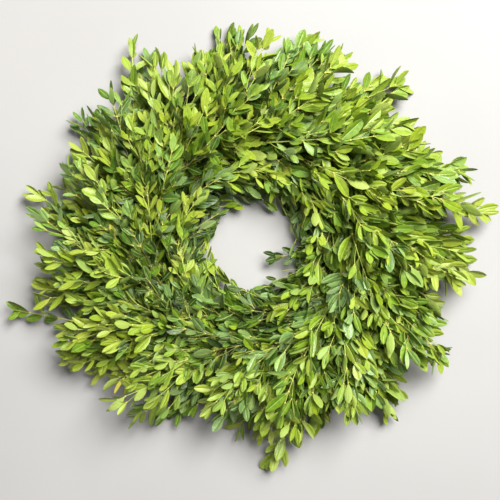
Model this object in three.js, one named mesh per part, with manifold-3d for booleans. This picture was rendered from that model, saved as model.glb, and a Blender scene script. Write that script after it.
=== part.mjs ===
// A fresh boxwood wreath, lying on its back: bunches of leafy sprigs, tied with
// florist's wire at fifteen stations round a wire wreath frame. Millimetres, +Z up.
// Seen from above, the sprigs leave the frame clockwise and sweep outwards, apart
// from those of the inner row, which turn in round the hole.
import * as THREE from "three";
import { mergeVertices } from "three/addons/utils/BufferGeometryUtils.js";
import Module from "manifold-3d";

const wasm = await Module();
wasm.setup();

// Driving dimensions
const STATIONS = 15;
const STATION_STEP = 360 / STATIONS;

// The frame is four rings of wire in a shallow arch, welded to cross wires.
const RINGS = [
  { radius: 89, height: 2.3 },
  { radius: 102, height: 11.5 },
  { radius: 114, height: 11.5 },
  { radius: 127, height: 2.3 },
];
const RING_WIRE = 1.2;
const RING_SIDES = 4;
const RING_FACETS = 30;
const CROSS_WIRES = 5;
const CROSS_WIRE = 1.1;
const CROSS_SIDES = 4;
// A cross wire ends this far beyond the middle of the outermost rings, and below it.
const CROSS_END = 0.4;
const CROSS_DROP = 0.6;

// The tying wire goes over the stems at every station and on under the frame. These
// are the corners of one turn, as radius and height.
const TIE_WIRE = 0.5;
const TIE_SIDES = 4;
const TIE_TURN = [
  [85.5, 0.5],
  [85.5, 5.6],
  [91, 12.4],
  [108, 18.9],
  [125, 12.4],
  [130.5, 5.6],
  [130.5, 0.5],
];

// The stems of a bunch are pressed flat where they are tied, across two of the rings:
// tie is the middle of that butt, as radius and height, and slope is its tilt. A sprig
// leaves it at a shift across the butt, along the ring, and turns evenly from its root
// to its tip, in degrees: lean is outwards, seen from above, and rise is upwards. The
// first sprig of a bunch carries its core.
const ROWS = {
  outer: {
    tie: [122.1, 9.2],
    slope: -35,
    buttWidth: 9.4,
    sprigs: [
      { shift: 0, lean: [32, 38], rise: [30, -6] },
      { shift: 4, lean: [44, 42], rise: [8, -4] },
      { shift: -4, lean: [20, 30], rise: [48, -6] },
    ],
  },
  middle: {
    tie: [108, 14.3],
    slope: 0,
    buttWidth: 6.9,
    sprigs: [
      { shift: 1, lean: [14, 30], rise: [62, -6], length: 104 },
      { shift: -3, lean: [-16, -2], rise: [66, -8], length: 88 },
    ],
  },
  inner: {
    tie: [93.9, 9.2],
    slope: 35,
    buttWidth: 9.4,
    sprigs: [
      { shift: 0, lean: [-38, -50], rise: [46, 4], length: 68 },
      { shift: -4, lean: [-56, -72], rise: [6, 2], length: 62 },
    ],
  },
};

// How far from the middle of the wreath the outer sprigs of each station reach.
const REACH = [
  [243, 216, 222],
  [238, 224, 224],
  [241, 220, 238],
  [204, 236, 212],
  [222, 227, 217],
  [222, 228, 222],
  [222, 228, 202],
  [217, 228, 220],
  [214, 238, 218],
  [222, 228, 226],
  [233, 230, 222],
  [228, 214, 226],
  [190, 204, 196],
  [212, 206, 214],
  [214, 234, 216],
];

// Single sprigs that stand out of the rest, each fused to the bunch it is tied with.
const STRAYS = [
  { row: "outer", station: 2, shift: 2, lean: [22, 22], rise: [20, -8], length: 160 },
  { row: "outer", station: 10, shift: 4, lean: [18, 18], rise: [10, -6], length: 172 },
  { row: "outer", station: 7, shift: 2, lean: [14, 14], rise: [14, -6], length: 166 },
  { row: "outer", station: 13, shift: 3, lean: [26, 26], rise: [14, -8], length: 132 },
  { row: "inner", station: 0, shift: -2, lean: [-70, -76], rise: [20, -6], length: 68 },
];

// How much a sprig's lean, rise and length may differ from its row's.
const LEAN_SWAY = 3;
const RISE_SWAY = 2;
const LENGTH_SWAY = 0.08;

// Half sizes, from the root of a sprig to its tip.
const BUTT_THICKNESS = 2.4;
const BUTT_LENGTH = 14;
const STEM_RADIUS = [1.9, 1.6];
const CORE_WIDTH = [7.5, 6];
const CORE_THICKNESS = [5, 4];
const CORE_SIDES = 6;
const STEM_SIDES = 3;
const SLIMMER = 0.25;
const PATH_STEPS = 12;
const CORE_STEPS = 3;
const STEM_STEPS = 2;
// A plain stem's root goes this share of its first step back into the butt.
const ROOT_BACK = 0.06;

// Leaves stand in pairs along the outer part of a sprig, and one at its very tip.
const LEAF_LENGTH = 28;
const LEAF_WIDTH = 14;
const LEAF_THICKNESS = 1.5;
const LEAF_DROOP = 1.5;
const LEAF_ANGLE = 42;
const ANGLE_SWAY = 6;
const SIZE_SWAY = 0.1;
const TIP_LEAF = 0.86;
const TIP_ANGLE = 4;
const TIP_BACK = 2;
const FIRST_PAIR = 0.88;
const FIRST_BACK = 6;
const PAIR_GAP = 27;
const PAIR_TURNS = [-12, 14];
const TURN_SWAY = 6;
const BARE_STEM = 36;
// How much a leaf's face is turned up, against its turn towards the sprig's tip.
const FACE_UP = 1.2;
// A leaf's root is this far below the surface of its stem, whose distance from the
// middle is about this share of its half width and half thickness together.
const ROOT_DEPTH = 2.6;
const SURFACE_SHARE = 0.65;
// The share of a tip leaf's length that adds to its sprig's reach, and how far the
// other leaves stand out beyond it.
const TIP_SHARE = 0.9;
const REACH_SPARE = 5;
// The least gap between bunches, the lowest a leaf may hang, and the largest step in a
// surface that a join may smooth away.
const CLEARANCE = 0.35;
const GROUND = 0.8;
const SLIVER = 0.1;

// Each use of sway has a number of its own. The pairs of a sprig count on from it.
const SWAY_OF = { lean: 1, rise: 2, length: 3, turn: 10, angle: 30, size: 50 };

const MERGE_GAP = 1e-4;
const STRAIGHT = 1e-3;

const radians = THREE.MathUtils.degToRad;
const lerp = THREE.MathUtils.lerp;
const UP = new THREE.Vector3(0, 0, 1);

// A repeatable number from -1 to 1 for two whole numbers.
function sway(a, b) {
  const value = Math.sin(a * 12.9898 + b * 78.233) * 43758.5453;
  return 2 * (value - Math.floor(value)) - 1;
}

// A closed three.js geometry as a solid that can be joined and cut.
function solidOf(geometry) {
  const plain = geometry.clone();
  plain.deleteAttribute("normal");
  plain.deleteAttribute("uv");
  const merged = mergeVertices(plain, MERGE_GAP);
  return new wasm.Manifold(
    new wasm.Mesh({
      numProp: 3,
      vertProperties: new Float32Array(merged.attributes.position.array),
      triVerts: new Uint32Array(merged.index.array),
    }),
  );
}

// The surface of a solid as a three.js geometry.
function geometryOf(solid) {
  const { numProp, numVert, vertProperties, triVerts } = solid.getMesh();
  const position = new Float32Array(numVert * 3);
  for (let i = 0; i < numVert; i++) {
    position.set(vertProperties.subarray(i * numProp, i * numProp + 3), i * 3);
  }
  const geometry = new THREE.BufferGeometry();
  geometry.setAttribute("position", new THREE.BufferAttribute(position, 3));
  geometry.setIndex(new THREE.BufferAttribute(new Uint32Array(triVerts), 1));
  geometry.computeVertexNormals();
  return geometry;
}

// Solids fused into one, without the slivers that the joins leave in its surface.
function join(solids) {
  const whole = solids.reduce((sum, piece) => sum.add(piece));
  return whole.asOriginal().simplify(SLIVER);
}

// The point of the wreath at an azimuth in degrees, a radius and a height.
function polar(azimuth, radius, height) {
  const angle = radians(azimuth);
  return new THREE.Vector3(radius * Math.cos(angle), radius * Math.sin(angle), height);
}

// The unit vector along the rings, clockwise as seen from above.
function clockwise(azimuth) {
  return polar(azimuth - 90, 1, 0);
}

// A cylinder bent along a list of points. sideways gives, for a step, the vector that
// the section's own x axis takes, and size gives its half width along that vector and
// its half thickness. At a corner the section is stretched, so that a wire keeps its
// thickness round it.
function bent(points, sides, size, sideways, turn = 0) {
  const steps = points.length - 1;
  const geometry = new THREE.CylinderGeometry(1, 1, 1, sides, steps);
  geometry.rotateY(turn);
  const position = geometry.attributes.position;
  for (let i = 0; i < position.count; i++) {
    const step = Math.round((0.5 + position.getY(i)) * steps);
    const before = points[step].clone().sub(points[Math.max(step - 1, 0)]).normalize();
    const after = points[Math.min(step + 1, steps)].clone().sub(points[step]).normalize();
    const along = before.clone().add(after).normalize();
    const across = sideways(step).clone();
    across.addScaledVector(along, -across.dot(along)).normalize();
    const out = new THREE.Vector3().crossVectors(across, along);
    const [wide, thick] = size(step);
    const offset = across.multiplyScalar(position.getX(i) * wide);
    offset.addScaledVector(out, position.getZ(i) * thick);
    const bend = after.clone().sub(before);
    if (step > 0 && step < steps && bend.length() > STRAIGHT) {
      bend.normalize();
      offset.addScaledVector(bend, offset.dot(bend) * (1 / along.dot(after) - 1));
    }
    offset.add(points[step]);
    position.setXYZ(i, offset.x, offset.y, offset.z);
  }
  return solidOf(geometry);
}

// One ring of the frame. Its facets are square to the radius at every station.
function frameRing({ radius, height }) {
  const corner = 1 / Math.cos(Math.PI / RING_FACETS);
  const profile = [];
  for (let i = 0; i <= RING_SIDES; i++) {
    const angle = Math.PI / 2 + ((2 * (i % RING_SIDES) + 1) * Math.PI) / RING_SIDES;
    const along = radius + RING_WIRE * Math.cos(angle);
    profile.push(new THREE.Vector2(along * corner, RING_WIRE * Math.sin(angle)));
  }
  const ring = new THREE.LatheGeometry(profile, RING_FACETS);
  ring.rotateX(Math.PI / 2);
  ring.rotateZ(Math.PI / 2 + Math.PI / RING_FACETS);
  ring.translate(0, 0, height);
  return solidOf(ring);
}

// The rings, welded to cross wires that follow the arch just inside them.
function wireFrame() {
  const pieces = RINGS.map(frameRing);
  for (let i = 0; i < CROSS_WIRES; i++) {
    const azimuth = (i * 360) / CROSS_WIRES + STATION_STEP / 2;
    const points = RINGS.map(({ radius, height }) => polar(azimuth, radius, height));
    points.at(0).add(polar(azimuth, -CROSS_END, -CROSS_DROP));
    points.at(-1).add(polar(azimuth, CROSS_END, -CROSS_DROP));
    const size = [CROSS_WIRE, CROSS_WIRE];
    pieces.push(bent(points, CROSS_SIDES, () => size, () => clockwise(azimuth)));
  }
  return join(pieces);
}

// The tying wire, from station to station. It is square, and lies flat on the table.
function tyingWire() {
  const corners = [];
  for (let station = 0; station < STATIONS; station++) {
    for (const [radius, height] of TIE_TURN) {
      corners.push(polar(station * STATION_STEP, radius, height));
    }
  }
  const hinge = (step) => {
    const here = THREE.MathUtils.clamp(step, 1, corners.length - 2);
    const before = corners[here].clone().sub(corners[here - 1]);
    const after = corners[here + 1].clone().sub(corners[here]);
    return before.cross(after).normalize();
  };
  const size = [Math.SQRT2 * TIE_WIRE, Math.SQRT2 * TIE_WIRE];
  return bent(corners, TIE_SIDES, () => size, hinge, Math.PI / TIE_SIDES);
}

// The length of a sprig whose tip leaf ends at a radius from the wreath's middle.
function lengthToReach(reach, tie, lean, rise) {
  const mean = radians((lean[0] + lean[1]) / 2);
  const start = BUTT_LENGTH / 2;
  const end = reach + REACH_SPARE - TIP_SHARE * TIP_LEAF * LEAF_LENGTH;
  const half = tie[0] * Math.sin(mean) + start * Math.cos(mean);
  const inPlan = Math.sqrt(half ** 2 + end ** 2 - tie[0] ** 2 - start ** 2) - half;
  return inPlan / Math.cos(radians((rise[0] + rise[1]) / 2));
}

// The direction across the butts of a row at an azimuth, outwards.
function acrossButt(azimuth, slope) {
  return polar(azimuth, Math.cos(radians(slope)), Math.sin(radians(slope)));
}

// The points of a sprig's stem, from its root at the tie to its tip.
function sprigPath({ azimuth, tie, slope, shift, lean, rise, length, steps }) {
  const tangent = clockwise(azimuth);
  const outward = polar(azimuth, 1, 0);
  const point = polar(azimuth, tie[0], tie[1]);
  point.addScaledVector(tangent, BUTT_LENGTH / 2);
  point.addScaledVector(acrossButt(azimuth, slope), shift);
  const points = [point.clone()];
  const step = length / PATH_STEPS;
  for (let i = 0; i < PATH_STEPS; i++) {
    const share = (i + 0.5) / PATH_STEPS;
    const leanNow = radians(lerp(lean[0], lean[1], share));
    const riseNow = radians(lerp(rise[0], rise[1], share));
    point.addScaledVector(tangent, step * Math.cos(riseNow) * Math.cos(leanNow));
    point.addScaledVector(outward, step * Math.cos(riseNow) * Math.sin(leanNow));
    point.addScaledVector(UP, step * Math.sin(riseNow));
    points.push(point.clone());
  }
  return points.filter((_, i) => i % (PATH_STEPS / steps) === 0);
}

// The half width and thickness of a stem at a share of its length. A core is thick
// from near its root to near its tip.
function stemSize({ core }, share) {
  const plain = lerp(...STEM_RADIUS, share);
  if (!core || share === 0 || share === 1) return [plain, plain];
  return [core * lerp(...CORE_WIDTH, share), core * lerp(...CORE_THICKNESS, share)];
}

// The same between the stations of the stem, where it tapers evenly.
function stemSizeNear(sprig, share) {
  const { steps } = sprig;
  const low = Math.min(Math.floor(share * steps), steps - 1);
  const from = stemSize(sprig, low / steps);
  const to = stemSize(sprig, (low + 1) / steps);
  return from.map((half, i) => lerp(half, to[i], share * steps - low));
}

// The stem of a sprig. The one with the core starts with the bunch's flat butt. extra
// makes it thicker beyond the butt, to test its clearance.
function stemSolid(sprig, extra = 0) {
  const points = [...sprig.points];
  const sizes = points.map((_, i) =>
    stemSize(sprig, i / sprig.steps).map((half) => half + extra),
  );
  if (sprig.first) {
    sizes[0] = [sprig.buttWidth, BUTT_THICKNESS];
    sizes.unshift(sizes[0]);
    const back = clockwise(sprig.azimuth).multiplyScalar(-BUTT_LENGTH);
    points[0] = points[0].clone().addScaledVector(sprig.across, -sprig.shift);
    points.unshift(points[0].clone().add(back));
  } else {
    points[0] = points[0].clone().lerp(points[1], -ROOT_BACK);
  }
  const level = (step) => {
    const here = Math.max(step, 1);
    return points[here].clone().sub(points[here - 1]).cross(UP).negate();
  };
  if (!sprig.first) return bent(points, STEM_SIDES, (step) => sizes[step], level, Math.PI);
  const sideways = (step) => (step < 2 ? sprig.across : level(step));
  return bent(points, CORE_SIDES, (step) => sizes[step], sideways);
}

// The point, direction, upper side and flank of a stem at a length from its root.
function placeOn({ points, length, steps }, distance) {
  const at = THREE.MathUtils.clamp(distance / length, 0, 1) * steps;
  const low = Math.min(Math.floor(at), steps - 1);
  const point = points[low].clone().lerp(points[low + 1], at - low);
  const along = points[low + 1].clone().sub(points[low]).normalize();
  const upper = UP.clone().addScaledVector(along, -along.z).normalize();
  const flank = new THREE.Vector3().crossVectors(along, upper);
  return { point, along, upper, flank };
}

// The outline of a leaf, blunt at its tip, and the top of its midrib: shares of its
// length and of half its width, and drops in millimetres.
const LEAF_SHAPE = [
  [0, 0, 0],
  [0.45, 1, 0.4 * LEAF_DROOP],
  [0.94, 0.48, LEAF_DROOP],
  [0.94, -0.48, LEAF_DROOP],
  [0.45, -1, 0.4 * LEAF_DROOP],
  [0.55, 0, -LEAF_THICKNESS],
];
const MIDRIB = LEAF_SHAPE.length - 1;
const LEAF_FACES = [
  [5, 1, 0], [5, 2, 1], [5, 3, 2], [5, 4, 3], [5, 0, 4],
  [0, 1, 4], [1, 2, 4], [2, 3, 4],
].flat();

// A leaf blade on its root. extra makes it larger all round, to test its clearance.
function leafSolid({ root, axis, face, length, width }, extra = 0) {
  const flank = new THREE.Vector3().crossVectors(face, axis);
  const vertices = LEAF_SHAPE.flatMap(([share, side, drop], i) => {
    const point = root.clone().addScaledVector(axis, share * (length + extra));
    point.addScaledVector(flank, side * (width / 2 + extra));
    point.addScaledVector(face, (i === MIDRIB ? extra : -extra) - drop);
    return point.toArray();
  });
  const geometry = new THREE.BufferGeometry();
  geometry.setAttribute("position", new THREE.Float32BufferAttribute(vertices, 3));
  geometry.setIndex(LEAF_FACES);
  return solidOf(geometry);
}

// A leaf's place on a sprig: how far back from the tip, how far it is turned about the
// stem, its angle to the stem and its size. Leaves face partly upwards.
function leafAt(sprig, back, turn, angle, size) {
  const distance = sprig.length - back;
  const { point, along, upper, flank } = placeOn(sprig, distance);
  const out = flank.clone().multiplyScalar(Math.cos(turn));
  out.addScaledVector(upper, Math.sin(turn));
  const axis = along.clone().multiplyScalar(Math.cos(angle));
  axis.addScaledVector(out, Math.sin(angle)).normalize();
  const face = along.clone().multiplyScalar(Math.sin(angle));
  face.addScaledVector(out, -Math.cos(angle)).addScaledVector(UP, FACE_UP);
  face.addScaledVector(axis, -face.dot(axis)).normalize();
  const [wide, thick] = stemSizeNear(sprig, distance / sprig.length);
  const depth = Math.max(SURFACE_SHARE * (wide + thick) - ROOT_DEPTH, 0);
  return {
    root: point.addScaledVector(axis, depth),
    axis,
    face,
    length: LEAF_LENGTH * size,
    width: LEAF_WIDTH * size,
    sprig,
    back,
  };
}

// The leaves of a sprig, from its tip back. Each pair is turned from the one before.
function listLeaves(sprig) {
  const leaves = [leafAt(sprig, TIP_BACK, 0, radians(TIP_ANGLE), TIP_LEAF)];
  const swayOf = (use, pair) => sway(sprig.id, SWAY_OF[use] + pair);
  let pair = 0;
  for (let back = FIRST_BACK; back < sprig.length - BARE_STEM; back += PAIR_GAP) {
    const turn = radians(PAIR_TURNS[pair % 2] + TURN_SWAY * swayOf("turn", pair));
    const angle = radians(LEAF_ANGLE + ANGLE_SWAY * swayOf("angle", pair));
    const size = (pair === 0 ? FIRST_PAIR : 1) * (1 + SIZE_SWAY * swayOf("size", pair));
    leaves.push(leafAt(sprig, back, turn, angle, size));
    leaves.push(leafAt(sprig, back, turn + Math.PI, angle, size));
    pair += 1;
  }
  return leaves;
}

// Every sprig of the wreath, with its small differences from its neighbours.
function listSprigs() {
  const sprigs = [];
  Object.entries(ROWS).forEach(([row, { sprigs: shapes, ...seat }], rowIndex) => {
    for (let station = 0; station < STATIONS; station++) {
      const strays = STRAYS.filter((stray) => stray.row === row && stray.station === station);
      [...shapes, ...strays].forEach((shape, index) => {
        const id = rowIndex * 1000 + station * 10 + index;
        const stray = index >= shapes.length;
        const loose = stray ? 0 : 1;
        const swayOf = (use, most) => loose * most * sway(id, SWAY_OF[use]);
        const lean = shape.lean.map((angle) => angle + swayOf("lean", LEAN_SWAY));
        const rise = shape.rise.map((angle) => angle + swayOf("rise", RISE_SWAY));
        const vary = 1 + swayOf("length", LENGTH_SWAY);
        const length = shape.length
          ? shape.length * vary
          : lengthToReach(REACH[station][index], seat.tie, lean, rise);
        const azimuth = station * STATION_STEP;
        const across = acrossButt(azimuth, seat.slope);
        const name = `${row}_bunch_${String(station + 1).padStart(2, "0")}`;
        const { shift } = shape;
        const sprig = { id, name, ...seat, azimuth, across, shift, lean, rise, length };
        sprig.first = index === 0;
        sprig.core = sprig.first ? 1 : 0;
        sprig.steps = sprig.first ? CORE_STEPS : STEM_STEPS;
        sprig.points = sprigPath(sprig);
        sprigs.push(sprig);
      });
    }
  });
  return sprigs;
}

function boxOf(solid) {
  const { min, max } = solid.boundingBox();
  return new THREE.Box3(new THREE.Vector3(...min), new THREE.Vector3(...max));
}

// Everything placed so far: a solid, its box, its node's name and the leaf pair it is of.
const placed = [];

function place(node, solid, pair = null) {
  placed.push({ node, solid, box: boxOf(solid), pair });
}

// Whether a solid meets another node, or a leaf of its own node that isn't of its pair.
function meets(solid, node, pair = null) {
  const box = boxOf(solid);
  return placed.some((other) => {
    const own = other.node === node;
    if (own && (!pair || !other.pair || other.pair === pair)) return false;
    if (!other.box.intersectsBox(box)) return false;
    const common = solid.intersect(other.solid);
    const touching = !common.isEmpty();
    common.delete();
    return touching;
  });
}

const LEAF_GREEN = 0x75902f;
const FRAME_GREEN = 0x2c4a33;
const TIE_GREEN = 0x3c5a3a;

function meshOf(name, solid, colour, roughness, metalness) {
  const material = new THREE.MeshStandardMaterial({ color: colour, roughness, metalness });
  const mesh = new THREE.Mesh(geometryOf(solid), material);
  mesh.name = name;
  return mesh;
}

const wreath = new THREE.Group();
const frame = wireFrame();
const tying = tyingWire();
place("wire_frame", frame);
place("tying_wire", tying);
wreath.add(meshOf("wire_frame", frame, FRAME_GREEN, 0.45, 0.3));
wreath.add(meshOf("tying_wire", tying, TIE_GREEN, 0.4, 0.4));

// The stems go on first. A core that would meet another bunch is made slimmer, and a
// stem that still would is left out.
const bunches = new Map();
const standing = [];
for (const sprig of listSprigs()) {
  if (!bunches.has(sprig.name)) bunches.set(sprig.name, []);
  while (sprig.core > 0 && meets(stemSolid(sprig, CLEARANCE), sprig.name)) {
    sprig.core -= SLIMMER;
  }
  if (meets(stemSolid(sprig, CLEARANCE), sprig.name)) continue;
  const stem = stemSolid(sprig);
  bunches.get(sprig.name).push(stem);
  place(sprig.name, stem);
  standing.push(sprig);
}

// The leaves go on tips first, each where it is clear of what is there already.
const leaves = standing.flatMap(listLeaves).sort((a, b) => a.back - b.back);
for (const leaf of leaves) {
  const node = leaf.sprig.name;
  const pair = `${leaf.sprig.id} ${Math.max(leaf.back, FIRST_BACK)}`;
  const solid = leafSolid(leaf);
  if (boxOf(solid).min.z < GROUND) continue;
  if (meets(leafSolid(leaf, CLEARANCE), node, pair)) continue;
  bunches.get(node).push(solid);
  place(node, solid, pair);
}

for (const [name, pieces] of bunches) {
  wreath.add(meshOf(name, join(pieces), LEAF_GREEN, 0.5, 0));
}

// The origin is under the middle of the wreath's bounding box.
const bounds = new THREE.Box3().setFromObject(wreath);
const middle = bounds.getCenter(new THREE.Vector3());
const shift = new THREE.Vector3(-middle.x, -middle.y, -bounds.min.z);
wreath.children.forEach((mesh) => mesh.geometry.translate(...shift.toArray()));

export default wreath;
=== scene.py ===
# %% [markdown]
# # A fresh boxwood wreath
# The real wreath is several hundred sprigs of boxwood, laid in bunches round a flat ring of wires
# and tied with a thin wire. They sweep clockwise and outwards, and the inner ones turn in round
# the hole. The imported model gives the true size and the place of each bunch. This script grows
# fine sprigs along the same lines, leaf by leaf.

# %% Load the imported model
import bpy
import numpy as np
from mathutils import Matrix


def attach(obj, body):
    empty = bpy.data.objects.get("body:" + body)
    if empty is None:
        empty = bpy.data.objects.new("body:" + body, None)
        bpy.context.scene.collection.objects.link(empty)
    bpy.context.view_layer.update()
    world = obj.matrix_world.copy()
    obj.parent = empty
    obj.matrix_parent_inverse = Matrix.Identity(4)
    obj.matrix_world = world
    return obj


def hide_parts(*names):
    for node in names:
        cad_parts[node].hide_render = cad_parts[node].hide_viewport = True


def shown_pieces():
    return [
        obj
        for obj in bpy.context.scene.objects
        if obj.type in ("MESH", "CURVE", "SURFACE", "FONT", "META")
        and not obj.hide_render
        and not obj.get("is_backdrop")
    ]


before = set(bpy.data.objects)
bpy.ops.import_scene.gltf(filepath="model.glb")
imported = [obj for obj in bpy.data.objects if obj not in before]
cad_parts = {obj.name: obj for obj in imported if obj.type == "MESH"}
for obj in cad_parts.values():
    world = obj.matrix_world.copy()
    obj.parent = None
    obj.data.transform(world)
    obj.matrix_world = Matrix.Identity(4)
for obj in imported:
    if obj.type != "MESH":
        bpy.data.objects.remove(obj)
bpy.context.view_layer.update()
print("packed nodes:", len(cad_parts))

# %% [markdown]
# ## One closed shape for leaves, stems and wires
# A leaf, a twig and a wire are all closed sleeves: rows of points round a line, with a pole at
# each end. They could be modelled one by one, but there are thousands. As sleeves they share one
# function for their faces, and arrays hold the points of all at once.

# %% The faces of a sleeve
MM = 0.001
UP = np.array([0.0, 0.0, 1.0])
# The middle of the ring of ties, in millimetres.
RING_CENTRE = np.array([0.5335, 2.7461, 0.0])


def sleeve_faces(rows, sides):
    """Faces of a sleeve of rows times sides points and then its two poles: four-sided faces
    join each point to the next one round and to the next row, and a fan of triangles joins
    each end row to its pole. Points run anticlockwise seen from the far end."""
    side = np.arange(sides)
    after = (side + 1) % sides
    row = np.arange(rows - 1)[:, None] * sides
    quads = np.stack([row + side, row + after, row + sides + after, row + sides + side], -1)
    last = (rows - 1) * sides
    near_fan = np.stack([after, side, np.full(sides, rows * sides)], -1)
    far_fan = np.stack([last + side, last + after, np.full(sides, rows * sides + 1)], -1)
    return quads.reshape(-1, 4), np.concatenate([near_fan, far_fan])


def unit(vectors):
    """Vectors divided by their own lengths."""
    return vectors / np.linalg.norm(vectors, axis=-1, keepdims=True)


print("faces of the smallest sleeve:", [len(faces) for faces in sleeve_faces(1, 4)])

# %% [markdown]
# ## From arrays to a mesh
# Blender can fill a mesh straight from flat arrays, far quicker than face by face. A family is
# many shapes that share their faces. Each point also carries numbers that the finishes read:
# how old its leaf or bark is, with painted shade added to the age of deep leaves, and a chance
# number that tells leaves apart.

# %% Families of shapes
LEAF_SLOT, BARK_SLOT = 0, 1


def family_of(points, faces, age, chance, place, slot, crease=0, under=None):
    """Shapes that share their faces, with the numbers that their points carry. Places and
    creases are given for one shape and hold for all."""
    each, (quads, tris) = points.shape[:2], faces
    return {
        "points": points, "quads": quads, "tris": tris, "slot": slot,
        "under": under or (np.zeros(len(quads)), np.zeros(len(tris))),
        "age": np.broadcast_to(age, each),
        "chance": np.broadcast_to(chance[:, None], each),
        "place": np.broadcast_to(place, (*each, 2)),
        "crease": np.broadcast_to(crease, each),
    }


print("leaves and bark have the materials", (LEAF_SLOT, BARK_SLOT), "of a piece")

# %% Fill a mesh
# Points on crease line 1, 2 or 3 have its number, all others 0, and both poles have this one.
CREASE_END = 9
POINT_NUMBERS = ("age", "chance")


def crease_edges(mesh, crease):
    """Marks the edges along a crease line, and on from its end to the pole, as sharp, so that
    the two halves of a leaf catch the light apart."""
    ends = np.empty(2 * len(mesh.edges), np.int32)
    mesh.edges.foreach_get("vertices", ends)
    lines = crease[ends.reshape(-1, 2)]
    same = (lines[:, 0] == lines[:, 1]) | (lines.max(1) == CREASE_END)
    sharp = same & (lines.min(1) > 0)
    mesh.attributes.new("sharp_edge", "BOOLEAN", "EDGE").data.foreach_set("value", sharp)


def joined(families, key, *size):
    """What all points carry under a key."""
    return np.concatenate([family[key].reshape(-1, *size) for family in families])


def put_mesh(name, families, materials):
    """One object out of families, in metres: each shape's faces have the index of its first
    point added, all their corners stand in a row, and a face has its first corner's place."""
    base, corners, sizes, slots, unders = 0, [], [], [], []
    for family in families:
        shapes, each = family["points"].shape[:2]
        first = base + np.arange(shapes)[:, None, None] * each
        for key, under in zip(("quads", "tris"), family["under"]):
            faces = (family[key] + first).reshape(-1, family[key].shape[1])
            corners.append(faces.ravel())
            sizes.append(np.full(len(faces), faces.shape[1]))
            slots.append(np.full(len(faces), family["slot"]))
            unders.append(np.tile(under, shapes))
        base += shapes * each
    corners, sizes = np.concatenate(corners), np.concatenate(sizes)
    points = (joined(families, "points", 3) + RING_CENTRE) * MM
    mesh = bpy.data.meshes.new(name)
    mesh.vertices.add(len(points))
    mesh.vertices.foreach_set("co", points.ravel())
    mesh.loops.add(len(corners))
    mesh.loops.foreach_set("vertex_index", corners)
    mesh.polygons.add(len(sizes))
    mesh.polygons.foreach_set("loop_start", np.cumsum(sizes) - sizes)
    mesh.polygons.foreach_set("material_index", np.concatenate(slots))
    mesh.update(calc_edges=True)
    mesh.polygons.foreach_set("use_smooth", np.ones(len(sizes), bool))
    for key in POINT_NUMBERS:
        values = joined(families, key)
        mesh.attributes.new(key, "FLOAT", "POINT").data.foreach_set("value", values)
    below = mesh.attributes.new("underside", "FLOAT", "FACE")
    below.data.foreach_set("value", np.concatenate(unders).astype(float))
    places = joined(families, "place", 2)[corners]
    mesh.uv_layers.new(name="place").uv.foreach_set("vector", places.ravel())
    crease_edges(mesh, joined(families, "crease"))
    for material in materials:
        mesh.materials.append(material)
    piece = bpy.data.objects.new(name, mesh)
    bpy.context.scene.collection.objects.link(piece)
    return piece


print("each point carries", POINT_NUMBERS)

# %% [markdown]
# ## A boxwood leaf
# A leaf is a small oval blade, widest just beyond its middle, about 23 mm long and two fifths as
# wide. Its midrib lies in a groove, and its edges turn up or down. One leaf could be modelled
# and copied, but all would be alike. As a sleeve each gets a size, cup and arch of its own. A row
# has six points: an edge, the top of a half, the midrib, the other half and edge, and the keel.

# %% Many leaves at once
LEAF_ROWS = np.array([0.07, 0.28, 0.54, 0.79, 0.95])
# Across the blade in half widths, and the crease line of each point.
LEAF_ACROSS = np.array([1, 0.52, 0, -0.52, -1, 0])
LEAF_CREASES = [1, 0, 2, 0, 3, 0]
LEAF_SIDES, UNDER_SIDES = 6, 2
LEAF_THICK = 0.45
# The oval starts at this share of the length, and its width grows by the gain to the tip.
BLADE_START, OVAL_POWER = 0.05, 0.76
NEAR_WIDTH, WIDTH_GAIN = 0.86, 0.26
FOOT_WIDTH = 0.13
# The midrib's depth in half widths, and the height of each half's top in edge heights.
GROOVE, HALF_TOP = 0.3, 0.3
LEAF_FACES = sleeve_faces(len(LEAF_ROWS), LEAF_SIDES)


def blade_width(share):
    """Share of the full width at a share of the length: an oval, 4 s (1 - s) raised to a
    power, that grows towards the tip, and never less than the leaf's foot."""
    inner = np.clip((share - BLADE_START) / (1 - BLADE_START), 0, 1)
    oval = (4 * inner * (1 - inner)) ** OVAL_POWER
    return np.maximum(oval * (NEAR_WIDTH + WIDTH_GAIN * inner), FOOT_WIDTH)


def leaf_points(leaves):
    """Points of every leaf, row by row: the foot, plus the share times the length along the
    axis, plus across and height times the half width there. The height also falls with the
    square of the share, as an arch."""
    half = blade_width(LEAF_ROWS)[None, :] * leaves["width"][:, None] / 2
    edge, groove = -leaves["cup"], np.full(len(half), -GROOVE)
    top = HALF_TOP * edge
    height = np.stack([edge, top, groove, top, edge, groove], -1)[:, None, :] * half[..., None]
    height[..., LEAF_SIDES - 1] -= LEAF_THICK
    arch = leaves["arch"] * leaves["length"]
    height = height - arch[:, None, None] * (LEAF_ROWS**2)[None, :, None]
    along = (LEAF_ROWS[None, :] * leaves["length"][:, None])[..., None]
    foot, axis, face = (leaves[key][:, None, None, :] for key in ("foot", "axis", "face"))
    spot = foot + along[..., None] * axis
    spot = spot + (LEAF_ACROSS * half[..., None])[..., None] * np.cross(face, axis)
    spot = spot + height[..., None] * face
    tip = leaves["foot"] + leaves["length"][:, None] * leaves["axis"]
    tip = tip - (arch + LEAF_THICK / 2)[:, None] * leaves["face"]
    return np.concatenate([spot.reshape(len(half), -1, 3), foot[:, 0], tip[:, None]], 1)


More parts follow.
